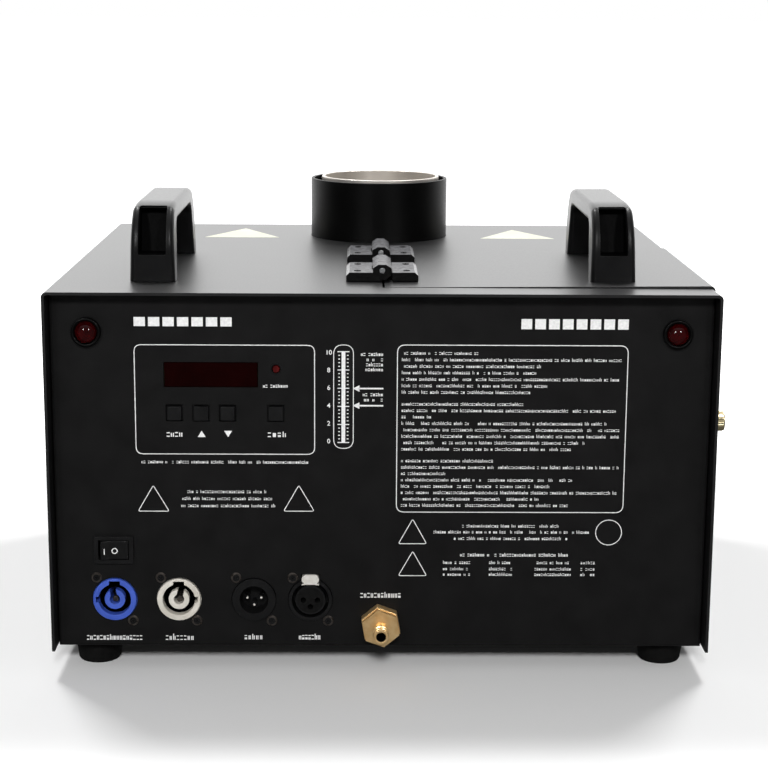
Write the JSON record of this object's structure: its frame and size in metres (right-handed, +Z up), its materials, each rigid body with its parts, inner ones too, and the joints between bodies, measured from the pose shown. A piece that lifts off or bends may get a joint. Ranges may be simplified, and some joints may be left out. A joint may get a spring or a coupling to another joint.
{
  "type": "stage flame machine",
  "caption": "Black steel stage flame machine with a rear chimney, a hinged canister lid, carrying handles and a recessed panel with sockets, display, keys, rocker switch and brass gas inlet.",
  "frame": {"origin": "on the ground below the middle of the overall outline, from the gas inlet's tip to the back edge and from the left side to the latch knob", "axes": "+X to the right seen from the front panel, +Y from the front panel to the back, +Z up"},
  "size_m": [0.3586, 0.3116, 0.2501],
  "materials": {
    "powder_coat": "satin black powder coat",
    "handle_nylon": "moulded black nylon, fine grain",
    "foot_rubber": "matte black rubber",
    "satin_steel": "satin stainless steel, heat-tinted",
    "zinc_steel": "zinc-plated steel",
    "turned_brass": "turned brass",
    "copper_pipe": "drawn copper",
    "white_ceramic": "glazed ceramic",
    "black_plastic": "moulded black plastic",
    "blue_plastic": "moulded blue plastic",
    "grey_plastic": "moulded pale grey plastic",
    "red_lens": "clear dark red plastic",
    "circuit_board": "green circuit board with components",
    "coil_resin": "black potting resin"
  },
  "bodies": {
    "chassis": {"base_tray": "powder_coat", "front_panel": "powder_coat", "rear_panel": "powder_coat", "cover_shell": "powder_coat", "left_handle": "handle_nylon", "foot_front_left": "foot_rubber", "foot_front_right": "foot_rubber", "foot_rear_left": "foot_rubber", "foot_rear_right": "foot_rubber", "chimney_ring": "powder_coat", "flame_tube": "satin_steel", "burner_deck": "zinc_steel", "burner_nozzle": "turned_brass", "left_electrode": "white_ceramic", "right_electrode": "white_ceramic", "ignition_transformer": "coil_resin", "gas_manifold": "turned_brass", "propane_valve": "coil_resin", "canister_valve": "coil_resin", "propane_line": "copper_pipe", "canister_line": "copper_pipe", "gas_inlet_fitting": "turned_brass", "gas_inlet_nut": "turned_brass", "canister_cradle": "zinc_steel", "canister_coupler": "turned_brass", "partition_wall": "zinc_steel", "heat_shield": "zinc_steel", "power_supply": "zinc_steel", "control_board": "circuit_board", "display_board": "circuit_board", "display_window": "red_lens", "signal_led": "red_lens", "power_switch_body": "black_plastic", "power_in_socket": "blue_plastic", "power_out_socket": "grey_plastic", "signal_in_socket": "black_plastic", "signal_out_socket": "black_plastic", "left_lamp_bezel": "black_plastic", "right_lamp_bezel": "black_plastic", "left_lamp_lens": "red_lens", "right_lamp_lens": "red_lens", "front_hinge_fixed_leaf": "powder_coat", "rear_hinge_fixed_leaf": "powder_coat", "front_hinge_pin": "zinc_steel", "rear_hinge_pin": "zinc_steel"},
    "lid": {"lid_panel": "powder_coat", "right_handle": "handle_nylon", "front_hinge_lid_leaf": "powder_coat", "rear_hinge_lid_leaf": "powder_coat"},
    "latch": {"latch_knob": "turned_brass", "latch_cam": "zinc_steel"},
    "rocker": {"power_switch_rocker": "black_plastic"},
    "mode_key": {"mode_button": "black_plastic"},
    "up_key": {"up_button": "black_plastic"},
    "down_key": {"down_button": "black_plastic"},
    "reset_key": {"reset_button": "black_plastic"},
    "release_tab": {"signal_out_release_tab": "zinc_steel"},
    "propane_core": {"propane_plunger": "zinc_steel"},
    "canister_core": {"canister_plunger": "zinc_steel"}
  },
  "joints": [
    {"name": "lid_hinge", "type": "hinge", "parent": "chassis", "child": "lid", "pos_m": [-0.00433, -0.04725, 0.2138], "axis": [0, -1, 0], "range_deg": [0, 140]},
    {"name": "latch_turn", "type": "hinge", "parent": "lid", "child": "latch", "pos_m": [0.17129, -0.11525, 0.13518], "axis": [-1, 0, -0.0079], "range_deg": [0, 90]},
    {"name": "power_rocker", "type": "hinge", "parent": "chassis", "child": "rocker", "pos_m": [-0.14673, -0.13205, 0.0677], "axis": [0, 0, -1], "range_deg": [0, 20]},
    {"name": "mode_press", "type": "slide", "parent": "chassis", "child": "mode_key", "axis": [0, 1, 0], "range_m": [0, 0.001], "stiffness_N_per_m": 1500, "springref_m": -0.0005},
    {"name": "up_press", "type": "slide", "parent": "chassis", "child": "up_key", "axis": [0, 1, 0], "range_m": [0, 0.001], "stiffness_N_per_m": 1500, "springref_m": -0.0005},
    {"name": "down_press", "type": "slide", "parent": "chassis", "child": "down_key", "axis": [0, 1, 0], "range_m": [0, 0.001], "stiffness_N_per_m": 1500, "springref_m": -0.0005},
    {"name": "reset_press", "type": "slide", "parent": "chassis", "child": "reset_key", "axis": [0, 1, 0], "range_m": [0, 0.001], "stiffness_N_per_m": 1500, "springref_m": -0.0005},
    {"name": "release_press", "type": "slide", "parent": "chassis", "child": "release_tab", "axis": [0, 1, 0], "range_m": [0, 0.0012], "stiffness_N_per_m": 1500, "springref_m": -0.0005},
    {"name": "propane_lift", "type": "slide", "parent": "chassis", "child": "propane_core", "axis": [0, 0, 1], "range_m": [0, 0.0025], "stiffness_N_per_m": 800, "springref_m": -0.002},
    {"name": "canister_lift", "type": "slide", "parent": "chassis", "child": "canister_core", "axis": [0, 0, 1], "range_m": [0, 0.0025], "stiffness_N_per_m": 800, "springref_m": -0.002}
  ]
}
